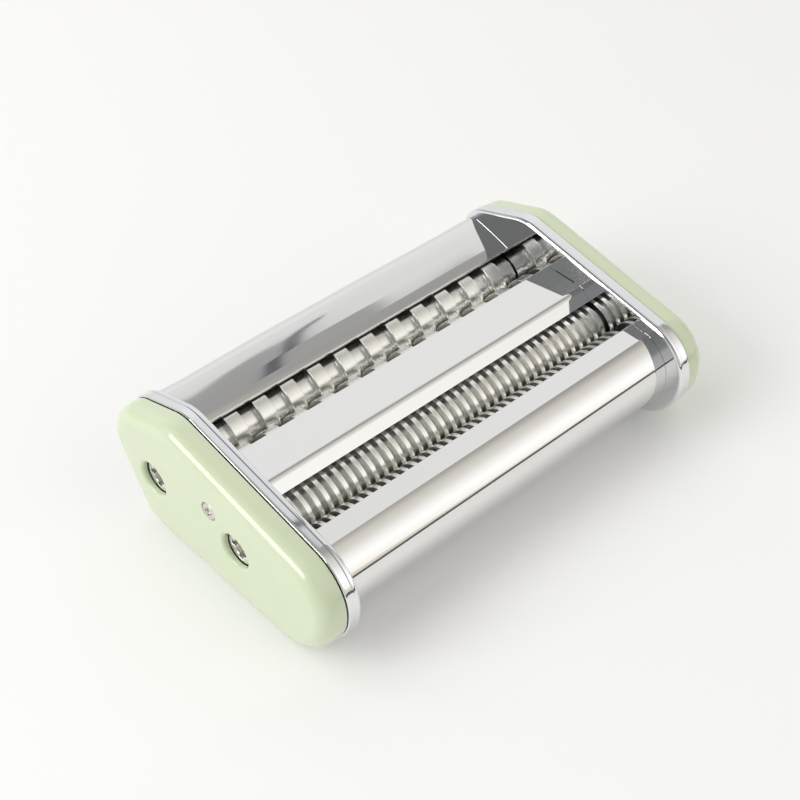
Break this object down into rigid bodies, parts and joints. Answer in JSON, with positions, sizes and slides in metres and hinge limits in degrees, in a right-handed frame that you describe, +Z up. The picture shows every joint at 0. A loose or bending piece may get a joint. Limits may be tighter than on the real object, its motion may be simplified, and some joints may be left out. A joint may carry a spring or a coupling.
{
  "type": "pasta cutter head",
  "caption": "Two-lane pasta cutter head: meshing wide-ribbon and narrow-ribbon rollers between chromed side plates with rounded end caps and crank sockets.",
  "frame": {"origin": "centre of the bounding box at its lowest plane, on the surface it stands on", "axes": "+X along the rollers from the crank end to the gear end, +Y to the rear where the wide cutter lies, +Z up"},
  "size_m": [0.1918, 0.1188, 0.057],
  "materials": {
    "enamel_green": "glossy pastel green with soft edges",
    "chrome_plate": "bright chromed pressed steel",
    "polished_sheet": "mirror polished stainless sheet, faintly brushed on the nose",
    "cutter_metal": "finely turned, hard anodised aluminium",
    "plain_steel": "zinc plated steel",
    "bearing_bronze": "sintered bronze",
    "comb_plastic": "food-safe white plastic",
    "screw_steel": "nickel plated steel"
  },
  "bodies": {
    "frame": {"left_side_plate": "chrome_plate", "left_bearing_plate": "plain_steel", "left_end_cap": "enamel_green", "right_side_plate": "chrome_plate", "right_bearing_plate": "plain_steel", "right_end_cap": "enamel_green", "rear_cover": "polished_sheet", "middle_cover": "polished_sheet", "front_cover": "polished_sheet", "left_wide_rear_bush": "bearing_bronze", "right_wide_rear_bush": "bearing_bronze", "wide_rear_comb": "comb_plastic", "left_wide_front_bush": "bearing_bronze", "right_wide_front_bush": "bearing_bronze", "wide_front_comb": "comb_plastic", "left_narrow_rear_bush": "bearing_bronze", "right_narrow_rear_bush": "bearing_bronze", "narrow_rear_comb": "comb_plastic", "left_narrow_front_bush": "bearing_bronze", "right_narrow_front_bush": "bearing_bronze", "narrow_front_comb": "comb_plastic", "rear_top_tie_rod": "plain_steel", "left_rear_top_nut": "plain_steel", "right_rear_top_nut": "plain_steel", "rear_bottom_tie_rod": "plain_steel", "left_rear_bottom_nut": "plain_steel", "right_rear_bottom_nut": "plain_steel", "front_bottom_tie_rod": "plain_steel", "left_front_bottom_nut": "plain_steel", "right_front_bottom_nut": "plain_steel", "centre_tie_rod": "plain_steel", "left_cap_screw": "screw_steel", "right_cap_screw": "screw_steel"},
    "wide_drive": {"wide_rear_cutter": "cutter_metal", "wide_rear_gear": "plain_steel", "wide_rear_gear_ring": "plain_steel", "wide_rear_crank_socket": "cutter_metal"},
    "wide_idler": {"wide_front_cutter": "cutter_metal", "wide_front_gear": "plain_steel", "wide_front_gear_ring": "plain_steel", "wide_front_shaft_ring": "plain_steel"},
    "narrow_drive": {"narrow_rear_cutter": "cutter_metal", "narrow_rear_gear": "plain_steel", "narrow_rear_gear_ring": "plain_steel", "narrow_rear_crank_socket": "cutter_metal"},
    "narrow_idler": {"narrow_front_cutter": "cutter_metal", "narrow_front_gear": "plain_steel", "narrow_front_gear_ring": "plain_steel", "narrow_front_shaft_ring": "plain_steel"}
  },
  "joints": [
    {"name": "wide_drive_spin", "type": "hinge", "parent": "frame", "child": "wide_drive", "pos_m": [0, 0.0345, 0.0254], "axis": [1, 0, 0], "continuous": true},
    {"name": "wide_idler_spin", "type": "hinge", "parent": "frame", "child": "wide_idler", "pos_m": [0, 0.0131, 0.0254], "axis": [1, 0, 0], "continuous": true},
    {"name": "narrow_drive_spin", "type": "hinge", "parent": "frame", "child": "narrow_drive", "pos_m": [0, -0.0122, 0.0254], "axis": [1, 0, 0], "continuous": true},
    {"name": "narrow_idler_spin", "type": "hinge", "parent": "frame", "child": "narrow_idler", "pos_m": [0, -0.0336, 0.0254], "axis": [1, 0, 0], "continuous": true}
  ],
  "couplings": [
    {"joint": "wide_idler_spin", "follows": "wide_drive_spin", "ratio": -1},
    {"joint": "narrow_idler_spin", "follows": "narrow_drive_spin", "ratio": -1}
  ]
}
